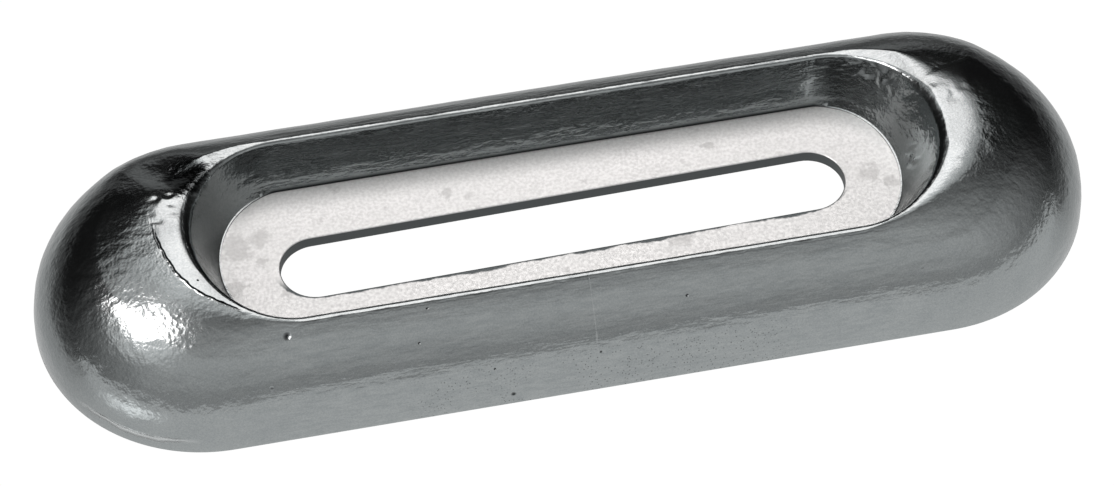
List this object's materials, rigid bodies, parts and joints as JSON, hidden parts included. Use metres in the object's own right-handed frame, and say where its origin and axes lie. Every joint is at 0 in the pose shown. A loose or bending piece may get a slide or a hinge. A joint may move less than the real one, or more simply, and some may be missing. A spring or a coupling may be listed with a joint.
{
  "type": "sacrificial hull anode",
  "caption": "Bull-nosed stadium casting with a long open pocket, poured round a flat slotted steel plate that bolts to a hull.",
  "frame": {"origin": "middle of the flat hull face", "axes": "+X along the anode and its slot, +Y across it, +Z out of the hull face"},
  "size_m": [0.2, 0.065, 0.0235],
  "materials": {
    "cast_zinc": "as cast, satin",
    "galvanised_steel": "hot-dip galvanised, matt"
  },
  "bodies": {
    "root": {"anode_casting": "cast_zinc", "insert_plate": "galvanised_steel"}
  },
  "joints": []
}
